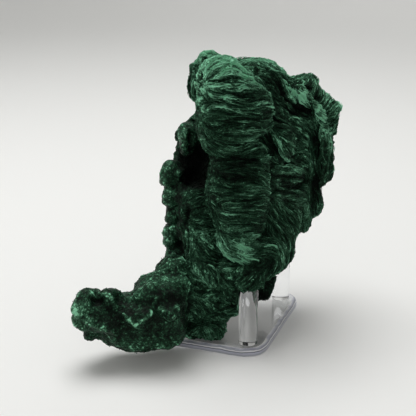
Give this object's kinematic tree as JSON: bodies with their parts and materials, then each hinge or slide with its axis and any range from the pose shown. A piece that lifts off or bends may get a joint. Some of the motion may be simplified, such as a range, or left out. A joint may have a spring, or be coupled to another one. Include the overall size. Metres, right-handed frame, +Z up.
{
  "type": "mineral specimen on peg stand",
  "caption": "Fibrous green mineral specimen, tall and leaning with a foot at one side, resting on a clear plate with upright pegs.",
  "frame": {"origin": "centre of the plate's underside", "axes": "+Z up, +X along the plate's front edge to the right, +Y towards the plate's back edge"},
  "size_m": [0.1294, 0.1723, 0.1828],
  "materials": {
    "malachite": "silky fibrous crust",
    "clear_plastic": "polished clear"
  },
  "bodies": {
    "root": {"malachite": "malachite", "base_plate": "clear_plastic", "peg_near": "clear_plastic", "peg_back": "clear_plastic", "peg_left": "clear_plastic"}
  },
  "joints": []
}
